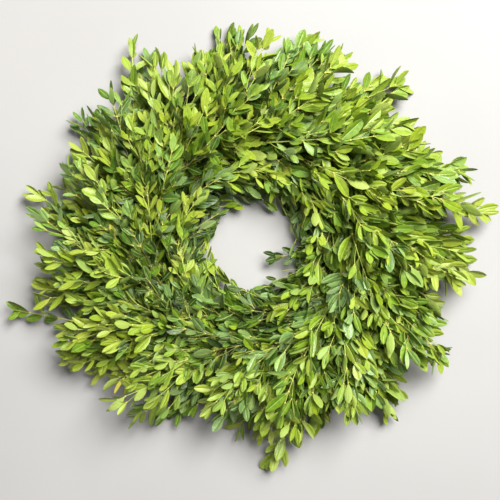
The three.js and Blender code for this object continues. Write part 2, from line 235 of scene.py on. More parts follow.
def leaf_family(leaves, ground, ceiling):
    """The leaves as one family. A leaf that would dip below the ground is lifted, and one that
    would stand above the ceiling is lowered."""
    points = leaf_points(leaves)
    low, high = points[..., 2].min(1), points[..., 2].max(1)
    lift = np.maximum(ground - low, 0) - np.maximum(high - ceiling, 0)
    points[..., 2] += lift[:, None]
    place = [(a, b) for a in LEAF_ROWS for b in 0.5 + LEAF_ACROSS / 2] + [(0, 0.5), (1, 0.5)]
    crease = LEAF_CREASES * len(LEAF_ROWS) + [CREASE_END] * 2
    below = np.arange(LEAF_SIDES) >= LEAF_SIDES - UNDER_SIDES
    under = (np.tile(below, len(LEAF_ROWS) - 1), np.tile(below, 2))
    age, chance = leaves["age"][:, None], leaves["chance"]
    return family_of(points, LEAF_FACES, age, chance, place, LEAF_SLOT, crease, under)


print("faces of a leaf:", [len(faces) for faces in LEAF_FACES])

# %% [markdown]
# ## Stems and wires
# A twig is a thin round rod along a bent line that tapers, and so is a wire without the taper.
# A curve with a round bevel would do for one. For thousands, a circle is carried along each line.

# %% A rod along a line
# How far the poles stand beyond a rod's first and last ring, in radii.
POLE_BEFORE, POLE_BEYOND = 0.2, 0.6


def rod_family(lines, radius, age, sides, slot, chance):
    """Rods along lines of equally many points: at each point a circle of the given radius,
    cosine of the angle times the level flank plus sine times the upper side."""
    heading = unit(np.gradient(lines, axis=1))
    upper = unit(UP - heading * heading[..., 2:])
    flank = np.cross(upper, heading)
    angle = np.arange(sides) * 2 * np.pi / sides
    turn = np.cos(angle)[:, None] * flank[..., None, :]
    turn = turn + np.sin(angle)[:, None] * upper[..., None, :]
    body = lines[:, :, None, :] + radius[..., None, None] * turn
    count, rows = lines.shape[:2]
    first = lines[:, 0] - POLE_BEFORE * radius[:, :1] * heading[:, 0]
    last = lines[:, -1] + POLE_BEYOND * radius[:, -1:] * heading[:, -1]
    points = np.concatenate([body.reshape(count, -1, 3), first[:, None], last[:, None]], 1)
    ages = np.concatenate([np.repeat(age, sides, 1), age[:, :1], age[:, -1:]], 1)
    place = [(a, b) for a in np.linspace(0, 1, rows) for b in angle / (2 * np.pi)]
    place += [(0, 0), (1, 0)]
    return family_of(points, sleeve_faces(rows, sides), ages, chance, place, slot)


print("a rod's poles stand out by", (POLE_BEFORE, POLE_BEYOND), "radii")

# %% [markdown]
# ## How the sprigs lie
# A bunch is tied at one of fifteen stations, in an outer, a middle or an inner row. A sprig
# leaves its tie along the ring, then leans outwards (or inwards) and rises, both turning evenly.
# The lines could be drawn by hand, but there are over eight hundred, so a few numbers describe
# each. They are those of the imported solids, but two loose sprigs are turned a little.

# %% The rows of bunches
STATIONS = 15
STATION_STEP = 360 / STATIONS
# For each row: the radius and height of its ties, the slope across the ring along which its
# sprigs are shifted, and their shift, leans and rises at root and tip, and length. An outer
# sprig's length comes from its reach. All are in millimetres and degrees.
SPRIG_KEYS = "shift lean rise length".split()
ROWS = {
    "outer": {"tie": (122.1, 9.2), "slope": -35, "sprigs": [
        (0, (32, 38), (30, -6)), (4, (44, 42), (8, -4)), (-4, (20, 30), (48, -6)),
    ]},
    "middle": {"tie": (108, 14.3), "slope": 0, "sprigs": [
        (1, (14, 30), (62, -6), 104), (-3, (-16, -2), (66, -8), 88),
    ]},
    "inner": {"tie": (93.9, 9.2), "slope": 35, "sprigs": [
        (0, (-38, -50), (46, 4), 68), (-4, (-56, -72), (6, 2), 62),
    ]},
}
# The radius that each sprig of an outer bunch reaches, station by station.
REACH = [
    (243, 216, 222), (238, 224, 224), (241, 220, 238), (204, 236, 212), (222, 227, 217),
    (222, 228, 222), (222, 228, 202), (217, 228, 220), (214, 238, 218), (222, 228, 226),
    (233, 230, 222), (228, 214, 226), (190, 204, 196), (212, 206, 214), (214, 234, 216),
]
# Single sprigs that stand out. More is what they have beyond their solid's length.
STRAY_KEYS = "row station shift lean rise length more tip_age gap size".split()
STRAYS = [dict(zip(STRAY_KEYS, values)) for values in (
    ("outer", 2, 2, (22, 22), (20, -8), 160, 8, 0.06, 0.9, 1.05),
    ("outer", 10, 4, (19, 20), (10, -6), 172, 10, 0.6, 1.35, 1.0),
    ("outer", 7, 2, (14, 14), (14, -6), 166, 8, 0.3, 1.2, 1.05),
    ("outer", 13, 3, (26, 26), (14, -8), 132, 10, 0.08, 0.8, 1.1),
    ("inner", 0, -2, (-80, -88), (20, -6), 68, 0, 0.8, 1.1, 0.85),
)]
print("sprigs with a solid:", STATIONS * sum(len(r["sprigs"]) for r in ROWS.values()) + len(STRAYS))

# %% The line of a sprig
# A line starts this far beyond its tie and has this many equal steps.
TIE_START, PATH_STEPS = 7, 12
# The leaf at the tip of a solid sprig, the share of it that counts, and a little over.
TIP_LEAF, TIP_SHARE, REACH_SPARE = 24.08, 0.9, 5
SWAY_FACTORS, SWAY_STRETCH = (12.9898, 78.233), 43758.5453


def around(azimuth, radius, height):
    """The point at an azimuth in degrees, a radius and a height."""
    angle = np.radians(azimuth)
    return np.array([radius * np.cos(angle), radius * np.sin(angle), height])


def sway(a, b):
    """A repeatable number from -1 to 1: the digits far behind the point of a sine."""
    value = np.sin(a * SWAY_FACTORS[0] + b * SWAY_FACTORS[1]) * SWAY_STRETCH
    return 2 * (value - np.floor(value)) - 1


def length_to_reach(reach, tie, lean, rise):
    """The length of a sprig whose tip leaf ends at a radius: the side of a triangle in plan,
    by the law of cosines, over the cosine of its mean rise."""
    mean = np.radians(np.mean(lean))
    end = reach + REACH_SPARE - TIP_SHARE * TIP_LEAF
    half = tie[0] * np.sin(mean) + TIE_START * np.cos(mean)
    in_plan = np.sqrt(half**2 + end**2 - tie[0] ** 2 - TIE_START**2) - half
    return in_plan / np.cos(np.radians(np.mean(rise)))


def sprig_line(azimuth, row, shape, length):
    """A sprig's line: its root beyond the tie, plus the running sum of equal steps whose lean
    and rise go evenly from their first to their last value."""
    lean, rise = shape["lean"], shape["rise"]
    tangent, outward = around(azimuth - 90, 1, 0), around(azimuth, 1, 0)
    slope = np.radians(row["slope"])
    root = around(azimuth, *row["tie"]) + TIE_START * tangent
    root = root + shape["shift"] * around(azimuth, np.cos(slope), np.sin(slope))
    share = (np.arange(PATH_STEPS)[:, None] + 0.5) / PATH_STEPS
    leaning = np.radians(lean[0] + (lean[1] - lean[0]) * share)
    rising = np.radians(rise[0] + (rise[1] - rise[0]) * share)
    heading = np.cos(leaning) * tangent + np.sin(leaning) * outward
    heading = np.cos(rising) * heading + np.sin(rising) * UP
    return np.concatenate([[root], root + np.cumsum(heading, 0) * length / PATH_STEPS])


print("three sways:", [round(float(sway(i, 0)), 2) for i in range(3)])

# %% The sprigs that the solids show
# For each value that sways: a number of its own, and the most that is added.
SWAYS = {"lean": (1, 3), "rise": (2, 2), "length": (3, 0.08)}


def main_sprigs(row_name, row_index, station):
    """The values of the sprigs that the solid of this bunch shows: those of its row, each plus
    a repeatable sway of its own, and single ones as they are."""
    row, found = ROWS[row_name], []
    shapes = [dict(zip(SPRIG_KEYS, sprig)) for sprig in row["sprigs"]]
    strays = [s for s in STRAYS if s["row"] == row_name and s["station"] == station]
    for index, shape in enumerate(shapes + strays):
        number = row_index * 1000 + station * 10 + index
        swaying = index < len(shapes)
        amount = {key: swaying * most * sway(number, salt) for key, (salt, most) in SWAYS.items()}
        lean = [angle + amount["lean"] for angle in shape["lean"]]
        rise = [angle + amount["rise"] for angle in shape["rise"]]
        if "length" in shape:
            length = shape["length"] * (1 + amount["length"])
        else:
            length = length_to_reach(REACH[station][index], row["tie"], lean, rise)
        found.append({**shape, "lean": lean, "rise": rise, "length": length})
    return found


print("lengths in the first bunch:", [round(s["length"]) for s in main_sprigs("outer", 0, 0)])

# %% [markdown]
# ## The leaves of a sprig
# Boxwood bears its leaves in opposite pairs, about 12 mm apart, each pair turned from the one
# before. At a tip they are the youngest: small, pale and held forward. Leaves could be scattered,
# but the pairs would be lost. So a pair's number from the tip gives its place, angle and size,
# and small random numbers vary them.

# %% Places and directions on a line


def spots_on(line, distances):
    """Points of a line at distances from its root, its heading there, and its length."""
    gaps = np.linalg.norm(np.diff(line, axis=0), axis=1)
    run = np.concatenate([[0], np.cumsum(gaps)])
    heading = np.gradient(line, run, axis=0)
    spots = np.stack([np.interp(distances, run, line[:, i]) for i in range(3)], -1)
    ways = np.stack([np.interp(distances, run, heading[:, i]) for i in range(3)], -1)
    return spots, unit(ways), run[-1]


def sides_of(heading, turn):
    """The direction square to a heading at an angle from its level flank towards its top."""
    upper = unit(UP - heading * heading[..., 2:])
    flank = np.cross(heading, upper)
    return np.cos(turn)[:, None] * flank + np.sin(turn)[:, None] * upper


print("the level flank of a line along x:", sides_of(np.array([[1.0, 0, 0]]), np.zeros(1))[0])

# %% Where the leaves sit and how they are held
PAIR_GAP = 11.8
# The first pair sits this far behind the tip, and the second is nearer by a share of a gap.
TIP_BACK, BACK_SWAY, FIRST_SHORT = 1.5, 0.4, 0.35
# Every second pair is turned round the stem by an angle in this range.
PAIR_TURN, TURN_SWAY = (44, 84), 9
# The angle between leaf and stem: at the tip, its gain from pair to pair, and the widest.
TIP_ANGLE, ANGLE_GAIN, WIDEST = 15, 10, 34
ANGLE_SWAY, ANGLE_LIMITS = 8, (3, 60)
AXIS_SWAY, UPWARD_SWAY, FACE_SWAY = 0.14, 0.45, 0.42
FOOT_OUT = 0.4


def held_leaves(stem, order, rng):
    """How far behind the tip the leaves sit, and their feet, axes and faces. An axis is cosine
    of the angle times the heading plus sine times the side, and a face is square to it."""
    count, pairs = len(order), len(order) // 2
    back = TIP_BACK + PAIR_GAP * np.maximum(order - FIRST_SHORT, 0) * stem["gap"]
    back = back + BACK_SWAY * rng.random(count)
    spot, heading, _ = spots_on(stem["line"], stem["length"] - back)
    crossed = np.where(np.arange(pairs) % 2, rng.uniform(*PAIR_TURN, pairs) * stem["hand"], 0)
    crossed = np.repeat(crossed + rng.normal(0, TURN_SWAY, pairs), 2)
    turn = np.tile([0.0, np.pi], pairs) + np.radians(crossed)
    angle = np.minimum(TIP_ANGLE + ANGLE_GAIN * order, WIDEST) + rng.normal(0, ANGLE_SWAY, count)
    angle = np.radians(np.clip(angle, *ANGLE_LIMITS))[:, None]
    out = sides_of(heading, turn)
    axis = np.cos(angle) * heading + np.sin(angle) * out
    axis = unit(axis + rng.normal(0, AXIS_SWAY, out.shape))
    upward = rng.normal(stem["upward"], UPWARD_SWAY, (count, 1))
    face = np.sin(angle) * heading - np.cos(angle) * out + upward * UP
    face = face + rng.normal(0, FACE_SWAY, face.shape)
    face = unit(face - (face * axis).sum(-1, keepdims=True) * axis)
    foot = spot + FOOT_OUT * out
    return back, {"foot": foot, "spot": spot, "heading": heading, "axis": axis, "face": face}


print("pairs of leaves sit", PAIR_GAP, "mm apart")

# %% Sizes, forms, ages and chances of the leaves
LEAF_LENGTH, LEAF_RATIO = 23, 0.415
# A leaf's share of the full size: at the tip, and its gain from pair to pair.
TIP_SIZE, SIZE_GAIN = 0.8, 0.15
SIZE_SWAY, WIDTH_SWAY = 0.12, 0.09
# The mean and spread of the arch and of the cup, which may turn an edge up or down.
ARCH, CUP, CUP_LIMITS = (0.08, 0.12), (0.06, 0.28), (-0.7, 0.8)
AGE_POWER, AGE_SWAY, TONE_SWAY = 0.8, 0.1, 0.16
# The share of yellow leaves, and the chance number that marks them.
YELLOWED, YELLOW_MARK = 0.002, 2.0


def leaves_on(stem, rng):
    """The leaves of a stem, in pairs from its tip to where it is bare. Age goes from the tip's
    to the root's with a power of the share of the length."""
    pairs = max(int((stem["length"] - stem["bare"]) / (PAIR_GAP * stem["gap"])), 1)
    count, order = 2 * pairs, np.repeat(np.arange(pairs), 2)
    back, leaves = held_leaves(stem, order, rng)
    size = np.minimum(TIP_SIZE + SIZE_GAIN * order, 1) * rng.normal(1, SIZE_SWAY, count)
    size *= stem["size"]
    share = np.clip(back / stem["length"], 0, 1) ** AGE_POWER
    age = stem["tip_age"] + (stem["root_age"] - stem["tip_age"]) * share
    age = age + rng.normal(0, AGE_SWAY, count)
    chance = np.clip(rng.normal(stem["tone"], TONE_SWAY, count), 0, 1)
    return {
        **leaves,
        "length": LEAF_LENGTH * size,
        "width": LEAF_LENGTH * size * LEAF_RATIO * rng.normal(1, WIDTH_SWAY, count),
        "arch": rng.normal(*ARCH, count),
        "cup": np.clip(rng.normal(*CUP, count), *CUP_LIMITS),
        "age": np.clip(age, 0, 1),
        "chance": np.where(rng.random(count) < YELLOWED, YELLOW_MARK, chance),
        "stray": np.full(count, stem.get("stray", False)),
    }


print("a leaf is", LEAF_LENGTH, "mm by", round(LEAF_LENGTH * LEAF_RATIO, 1), "mm")

# %% [markdown]
# ## Side shoots
# Side shoots leave a sprig left and right in turn and bend forward again. They could be copies
# of one twig, but it would show. Each is a stem of its own, with leaves by the same function.

# %% Stems and their side shoots
# How much the gap between two pairs or two shoots varies.
GAP_SWAY = (0.8, 1.25)
STEM_UPWARD = 1.2
# From the tip to the first shoot, from one to the next, and from the last to the bare part.
FIRST_SHOOT, SHOOT_GAP, LAST_SHOOT = (26, 36), 23, 4
# The angle above level round the stem in radians, and that to the stem in degrees.
SHOOT_TURN, SHOOT_ANGLE = (-0.2, 0.7), (16, 32)
SHOOT_BASE, SHOOT_GAIN, SHOOT_LIMITS, SHOOT_SWAY = 12, 0.36, (18, 46), (0.8, 1.15)
SHOOT_STEPS, SHOOT_BEND = 4, 0.5
# A shoot's root is older than the sprig beside it, and its tip has this share of that age.
SHOOT_OLDER, SHOOT_YOUNGER, SHOOT_AGE_SWAY = 0.1, 0.75, (-0.08, 0.08)
SHOOT_THICK, SHOOT_BARE, SHOOT_SIZE, SHOOT_TONE = (0.5, 0.32), 5, 0.94, (-0.15, 0.15)


def stem_of(line, thick, ages, bare, rng, size, tone=None, upward=STEM_UPWARD):
    """A stem: its line, half thickness and age at root and tip, and how its leaves sit. Its
    tone, from bluish to yellowish, is its parent's or drawn anew."""
    return {
        "line": line, "length": spots_on(line, np.zeros(1))[2], "thick": thick, "bare": bare,
        "size": size, "root_age": ages[0], "tip_age": ages[1], "upward": upward,
        "gap": rng.uniform(*GAP_SWAY), "hand": rng.choice([-1.0, 1.0]),
        "tone": rng.random() if tone is None else tone,
    }


def shoots_of(stem, rng):
    """Side shoots, left and right in turn: each starts at an angle to the stem and bends half
    of the way back to its heading. Those further from the tip are longer."""
    shoots, back, hand = [], rng.uniform(*FIRST_SHOOT), rng.choice([0.0, np.pi])
    while back < stem["length"] - stem["bare"] - LAST_SHOOT:
        spot, heading, _ = spots_on(stem["line"], np.array([stem["length"] - back]))
        turn = hand + rng.uniform(*SHOOT_TURN) * (1 if hand == 0 else -1)
        out = sides_of(heading, np.array([turn]))[0]
        angle = np.radians(rng.uniform(*SHOOT_ANGLE))
        length = np.clip(SHOOT_BASE + SHOOT_GAIN * back, *SHOOT_LIMITS) * rng.uniform(*SHOOT_SWAY)
        bend = np.linspace(1, SHOOT_BEND, SHOOT_STEPS)[:, None] * angle
        ways = np.cos(bend) * heading[0] + np.sin(bend) * out
        line = spot + np.concatenate([[[0, 0, 0]], np.cumsum(ways, 0) * length / SHOOT_STEPS])
        share = back / stem["length"]
        age = stem["tip_age"] + (stem["root_age"] - stem["tip_age"]) * share
        ages = (age + SHOOT_OLDER, SHOOT_YOUNGER * age + rng.uniform(*SHOOT_AGE_SWAY))
        tone = stem["tone"] + rng.uniform(*SHOOT_TONE)
        size = SHOOT_SIZE * stem["size"]
        shoots.append(stem_of(line, SHOOT_THICK, ages, SHOOT_BARE, rng, size, tone))
        back += SHOOT_GAP * rng.uniform(*GAP_SWAY)
        hand = np.pi - hand
    return shoots


print("shoots are about", SHOOT_LIMITS, "mm long")

# %% [markdown]
# ## The sprigs of a bunch
# A bunch holds the sprigs of its solid, 8 mm longer because their tips taper to small leaves,
# and many finer ones. These could repeat its directions, but a bunch is looser, so each draws
# its own from a range. Pale young sprigs are more frequent on one side of each row, leaves at the
# upper right are larger and of a middle age, and deep leaves are darker, partly as older leaves
# and partly as painted shade in the depths. Leaves whose tips would hang in the hole are left
# out, with a margin drawn for each to keep its edge rough.

# %% The finer sprigs of a bunch
# For each kind: how many, the range of the lean, its turn, the range of the rise, the chance of
# a young tip, and the range of the length, in the outer row as a share of the reach.
FILLERS = {
    "outer": [
        (4, (9, 50), 8, (4, 40), 0.6, (0.86, 1.03)),
        (7, (6, 56), 8, (14, 56), 0.46, (0.72, 0.89)),
        (4, (4, 54), 10, (4, 36), 0.15, (0.72, 0.86)),
    ],
    "middle": [
        (9, (-8, 66), 10, (34, 66), 0.62, (50, 104)),
        (5, (-26, 14), -28, (20, 58), 0.5, (40, 72)),
    ],
    "inner": [
        (6, (-62, -24), -14, (10, 60), 0.48, (30, 54)),
        (6, (-26, 16), -40, (6, 58), 0.54, (40, 68)),
        (6, (-44, -8), -24, (0, 18), 0.4, (34, 60)),
    ],
}
TIP_RISE, TIP_MORE = -8, 4
FILLER_SHIFT = {"outer": (-8, 8), "middle": (-6, 6), "inner": (-8, 8)}


def filler_sprigs(row_name, station, rng):
    """More sprigs of the same bunch, each with values drawn from their ranges. In the outer row
    the length comes from a share of the station's reach nearest in lean."""
    found, row = [], ROWS[row_name]
    for count, lean_range, turn, rise_range, young, length_range in FILLERS[row_name]:
        for _ in range(count):
            lean, rise = rng.uniform(*lean_range), rng.uniform(*rise_range)
            leans, rises = (lean, lean + turn), (rise, TIP_RISE)
            length = rng.uniform(*length_range)
            if row_name == "outer":
                index = np.argmin([abs(np.mean(s[1]) - np.mean(leans)) for s in row["sprigs"]])
                reach = REACH[station][index] * length
                length = length_to_reach(reach, row["tie"], leans, rises) + TIP_MORE
            found.append({"filler": True, "young": young, "length": length, "lean": leans,
                          "rise": rises, "shift": rng.uniform(*FILLER_SHIFT[row_name])})
    return found


print("finer sprigs:", STATIONS * sum(kind[0] for kinds in FILLERS.values() for kind in kinds))

# %% One sprig and its age
MAIN_MORE = 8
# The middle of the hole, and how far from it the finer stems and the tips of leaves stay.
HOLE_CENTRE = np.array([5, 0.5])
STEMS_CLEAR, SHORTEN = 50, 0.92
HOLE_CLEAR, HOLE_SWAY = 44, 4
# For each row: a main sprig's chance of a young tip, the azimuth of the pale side, and the
# ranges of an old tip's age and of a leaf's size.
HABITS = {
    "outer": {"young": 0.5, "pale": 215, "old": (0.36, 0.86), "size": (0.88, 1.14)},
    "middle": {"young": 0.58, "pale": 160, "old": (0.42, 0.92), "size": (0.84, 1.08)},
    "inner": {"young": 0.48, "pale": 100, "old": (0.5, 0.98), "size": (0.74, 0.98)},
}
YOUNG_TIP, ROOT_OLDER = (0.0, 0.28), 0.48
PALE_GAIN, PALE_SWAY = 0.22, 0.4
# Towards this side leaves are larger and nearer a middle age.
BIG_AZIMUTH, BIG_GAIN = 38, 0.1
MEDIUM_AGE, MEDIUM_PULL = 0.28, 0.75
MAIN_BARE, FILLER_BARE = 14, 6
SPRIG_THICK, STRAY_THICK = (0.95, 0.36), (1.1, 0.6)
SPRIG_UPWARD, STRAY_UPWARD = (0.5, 1.5), 2.4


def hole_distance(points):
    """The distances in plan from the middle of the hole to points."""
    return np.linalg.norm(points[:, :2] - HOLE_CENTRE, axis=1)


def sprig_of(shape, row_name, azimuth, pale, rng):
    """One sprig. A finer one is shortened until it is clear of the hole, and keeps every second
    point. Its tip is young or old by chance, and the age is drawn to the middle age by the
    cosine of the angle from the side of large leaves."""
    main, row, habit = "filler" not in shape, ROWS[row_name], HABITS[row_name]
    length = shape["length"] + shape.get("more", MAIN_MORE if main else 0)
    line = sprig_line(azimuth, row, shape, length)
    while not main and hole_distance(line).min() < STEMS_CLEAR:
        length = SHORTEN * length
        line = sprig_line(azimuth, row, shape, length)
    line = line if main else line[::2]
    big = np.cos(np.radians(azimuth - BIG_AZIMUTH))
    young = rng.random() < shape.get("young", habit["young"]) + PALE_GAIN * pale
    tip_age = rng.uniform(*(YOUNG_TIP if young else habit["old"]))
    tip_age = shape.get("tip_age", tip_age + MEDIUM_PULL * max(big, 0) * (MEDIUM_AGE - tip_age))
    size = rng.uniform(*habit["size"]) * (1 + BIG_GAIN * big)
    ages, bare = (tip_age + ROOT_OLDER, tip_age), MAIN_BARE if main else FILLER_BARE
    upward = rng.uniform(*SPRIG_UPWARD)
    sprig = stem_of(line, SPRIG_THICK, ages, bare, rng, size, upward=upward)
    if "tip_age" in shape:
        sprig.update(gap=shape["gap"], size=shape["size"], upward=STRAY_UPWARD)
        sprig.update(thick=STRAY_THICK, stray=True)
    return sprig


print("a root is older than its tip by", ROOT_OLDER)

# %% Grow one bunch
BUNCH_SEED = 1000
# Leaves lower than this are darker, by this much age at the ground, partly as older leaves and
# partly as painted shade in the depths, and the rule fades outwards.
DEEP_BELOW, DEEP_AGE_AND_SHADE = 34, 0.6
DEEP_INSIDE, DEEP_FADE = 180, 40


def kept_leaves(leaves, rng):
    """The leaves whose tips are clear of the hole, darker where they are deep, partly as older
    leaves and partly as painted shade: the age grows with the foot's depth below a height, times how
    far inside a radius it is."""
    tips = leaves["foot"] + leaves["axis"] * leaves["length"][:, None]
    clear = hole_distance(tips) > rng.normal(HOLE_CLEAR, HOLE_SWAY, len(tips))
    clear |= leaves["stray"]
    leaves = {key: value[clear] for key, value in leaves.items()}
    from_axis = np.linalg.norm(leaves["foot"][:, :2], axis=1)
    deep = np.clip(1 - leaves["foot"][:, 2] / DEEP_BELOW, 0, 1)
    deep = deep * np.clip((DEEP_INSIDE - from_axis) / DEEP_FADE, 0, 1)
    # Painted shade: deep leaves get more age, so a darker colour, on top of their real age.
    leaves["age"] = np.clip(leaves["age"] + DEEP_AGE_AND_SHADE * deep, 0, 1)
    return leaves


def grow_bunch(row_name, row_index, station):
    """All stems and leaves of a bunch. The chance of young tips follows the cosine of the angle
    from the row's pale side."""
    rng = np.random.default_rng(BUNCH_SEED * row_index + station)
    azimuth = station * STATION_STEP
    pale = np.cos(np.radians(azimuth - HABITS[row_name]["pale"]))
    pale = pale + PALE_SWAY * sway(station, row_index)
    sprigs, shoots = [], []
    for shape in main_sprigs(row_name, row_index, station) + filler_sprigs(row_name, station, rng):
        sprigs.append(sprig_of(shape, row_name, azimuth, pale, rng))
        if "stray" not in sprigs[-1]:
            shoots += shoots_of(sprigs[-1], rng)
    leaves = [leaves_on(stem, rng) for stem in sprigs + shoots]
    leaves = {key: np.concatenate([some[key] for some in leaves]) for key in leaves[0]}
    return sprigs, shoots, kept_leaves(leaves, rng)


first_sprigs, first_shoots, _ = grow_bunch("outer", 0, 0)
print("first bunch:", len(first_sprigs), "sprigs with", len(first_shoots), "shoots")

# %% [markdown]
# ## Nodes that make a finish
# The finishes come from nodes: boxes that each do one step, such as noise or a ramp. They could
# be joined by hand, but with a few helpers a finish reads like a list of steps.

# %% Helpers for node materials


def srgb(red, green, blue):
    """A screen colour of 0 to 255 as linear light: the standard curve, power 2.4 above a foot."""
    value = np.array([red, green, blue]) / 255
    linear = np.where(value <= 0.04045, value / 12.92, ((value + 0.055) / 1.055) ** 2.4)
    return (*linear, 1.0)


def new_material(name):
    """A material with an empty node tree but for its shader and output."""
    material = bpy.data.materials.new(name)
    material.use_nodes = True
    tree = material.node_tree
    return material, tree, tree.nodes["Principled BSDF"]


def add_node(tree, kind, **settings):
    """A node of a kind, with its properties set and its inputs set or linked. Inputs are given
    last, as in0, in1 and so on."""
    node = tree.nodes.new("ShaderNode" + kind)
    for key, value in settings.items():
        if not key.startswith("in"):
            setattr(node, key, value)
        elif isinstance(value, bpy.types.NodeSocket):
            tree.links.new(value, node.inputs[int(key[2:])])
        else:
            node.inputs[int(key[2:])].default_value = value
    return node


def maths(tree, operation, *values, clamp=False):
    """The output of a math node on numbers or sockets."""
    inputs = {f"in{i}": value for i, value in enumerate(values)}
    return add_node(tree, "Math", operation=operation, use_clamp=clamp, **inputs).outputs[0]


def attribute(tree, name):
    """The number that each point or face of the mesh carries under a name."""
    return add_node(tree, "Attribute", attribute_name=name).outputs["Fac"]


def place_on(tree):
    """The place along and across a leaf or a stem, from 0 to 1."""
    place = add_node(tree, "UVMap", uv_map="place").outputs[0]
    parts = add_node(tree, "SeparateXYZ", in0=place)
    return parts.outputs[0], parts.outputs[1]


def noise(tree, scale, detail=3.0):
    """Noise from 0 to 1 over the object's own space, scale bumps to the metre."""
    where = add_node(tree, "TexCoord").outputs["Object"]
    return add_node(tree, "TexNoise", in0=where, in2=scale, in3=detail).outputs["Fac"]


def ramp(tree, factor, stops):
    """A colour ramp of (place, colour) stops on a factor."""
    node = add_node(tree, "ValToRGB", in0=factor)
    elements = node.color_ramp.elements
    while len(elements) < len(stops):
        elements.new(0.5)
    for element, (place, colour) in zip(elements, stops):
        element.position = place
        element.color = colour
    return node.outputs["Color"]


def mix(tree, factor, first, second, blend="MIX"):
    """Two colours mixed by a factor."""
    settings = {"data_type": "RGBA", "blend_type": blend, "in0": factor, "in6": first, "in7": second}
    return add_node(tree, "Mix", **settings).outputs[2]


def span(tree, value, *ends):
    """A value carried from one range, the first two ends, to another, and held at its ends."""
    inputs = {f"in{i}": end for i, end in enumerate(ends, 1)}
    return add_node(tree, "MapRange", in0=value, **inputs).outputs[0]


def tinted(tree, colour, value, tint):
    """A colour with a tint mixed in by the span of a value."""
    return mix(tree, span(tree, value, *tint[0]), colour, tint[1])


def finish(tree, shader, colour, rough, height, bump):
    """Joins to the shader a colour, a roughness, and a relief in the shading only, from a
    height, with a strength and a depth in metres."""
    relief = add_node(tree, "Bump", in0=bump[0], in1=bump[1], in3=height).outputs[0]
    for name, socket in (("Base Color", colour), ("Roughness", rough), ("Normal", relief)):
        tree.links.new(socket, shader.inputs[name])


print("mid grey as linear light:", float(srgb(128, 128, 128)[0]))

# %% [markdown]
# ## The finish of the leaves
# A leaf goes from pale yellow-green to deep green as it ages. It has a light midrib and rim and
# faint side veins, is slightly wavy, half glossy above and duller and paler below. Some leaves
# are bluish or yellowish, older bluish ones get a pale grey sheen painted into their colour, and
# one in five hundred is yellow. A picture could be wrapped over each blade, but it would repeat.
# With its age, chance number and place, each looks its own.

# %% The leaf finish
LEAF_AGES = [
    (0.0, srgb(157, 170, 68)), (0.2, srgb(151, 168, 54)), (0.45, srgb(136, 162, 40)),
    (0.7, srgb(92, 129, 26)), (1.0, srgb(29, 62, 8)),
]
# Factors of red, green and blue for a low, middle and high chance number.
LEAF_HUES = [
    (0.0, (0.6, 0.86, 1.05, 1)), (0.5, (0.97, 1, 0.88, 1)), (1.0, (1.16, 1.02, 0.6, 1)),
]
# Tints, each with the span in which its share goes from the third number to the fourth.
YELLOW = (1.4, 1.6, 0.0, 0.85), srgb(226, 212, 92)
RIB = (0.02, 0.07, 0.5, 0.0), srgb(190, 206, 100)
FOOT = (0.04, 0.16, 0.9, 0.0), srgb(200, 190, 96)
RIM = (0.44, 0.5, 0.0, 0.26), srgb(196, 208, 104)
# A pale grey painted sheen, mixed into older bluish leaves where their gloss would catch the sky.
PAINTED_SHEEN, PAINTED_SHEEN_CHANCE, PAINTED_SHEEN_AGE = srgb(146, 170, 118), (0.0, 0.2, 0.5, 0.0), (0.2, 0.5, 0.0, 1.0)
VEIN, VEIN_SHARE = srgb(186, 202, 100), 0.08
BELOW, BELOW_SHARE, BELOW_DULLER = srgb(150, 172, 96), 0.4, 0.25
# How mottling and the place across move the age, and how much of the hue each age shows.
MOTTLES, MOTTLE_SPAN, EDGE_SPAN = 260, (0.3, 0.7, -0.09, 0.09), (0, 0.5, 0.05, -0.06)
HUE_SPAN = (0.1, 0.6, 0.25, 1.0)
# The side veins: their number along the leaf, their slant back from the rim, and sharpness.
VEINS, VEIN_SLANT, VEIN_POWER = 11.0, -9.0, 6.0
# The roughness: spots, and each leaf's own part, told by its chance number times a factor.
SPOTS, SPOT_SPAN = 700, (0.35, 0.65, -0.06, 0.06)
OWN_FACTOR, OWN_SPAN = 17.3, (0.0, 1.0, 0.26, 0.54)
WAVES, WAVE_HEIGHT, VEIN_HEIGHT, RIB_HEIGHT = 340, 3.5, -0.5, (0.0, 0.08, 1.2, 0.0)
LEAF_BUMP = (0.5, 0.0003)
LEAF_SHINE = {"Specular IOR Level": 0.44, "Coat Weight": 0.1, "Coat Roughness": 0.38}


def leaf_colour(tree, along, from_rib, vein):
    """The age ramp, where mottling and the place across move the age, times the chance's hue, with a
    painted grey sheen mixed into bluish older leaves and each tint mixed in over its span."""
    chance, mottle = attribute(tree, "chance"), noise(tree, MOTTLES)
    age = maths(tree, "ADD", attribute(tree, "age"), span(tree, mottle, *MOTTLE_SPAN))
    age = maths(tree, "ADD", age, span(tree, from_rib, *EDGE_SPAN), clamp=True)
    hue = ramp(tree, chance, LEAF_HUES)
    blade = mix(tree, span(tree, age, *HUE_SPAN), ramp(tree, age, LEAF_AGES), hue, "MULTIPLY")
    # Painted sheen: pale grey mixed into bluish, older leaves.
    painted_sheen_share = maths(tree, "MULTIPLY", span(tree, chance, *PAINTED_SHEEN_CHANCE), span(tree, age, *PAINTED_SHEEN_AGE))
    blade = mix(tree, painted_sheen_share, blade, PAINTED_SHEEN)
    blade = tinted(tree, blade, chance, YELLOW)
    blade = mix(tree, maths(tree, "MULTIPLY", vein, VEIN_SHARE), blade, VEIN)
    for value, tint in ((from_rib, RIB), (along, FOOT), (from_rib, RIM)):
        blade = tinted(tree, blade, value, tint)
    return mix(tree, attribute(tree, "underside"), blade, mix(tree, BELOW_SHARE, blade, BELOW))


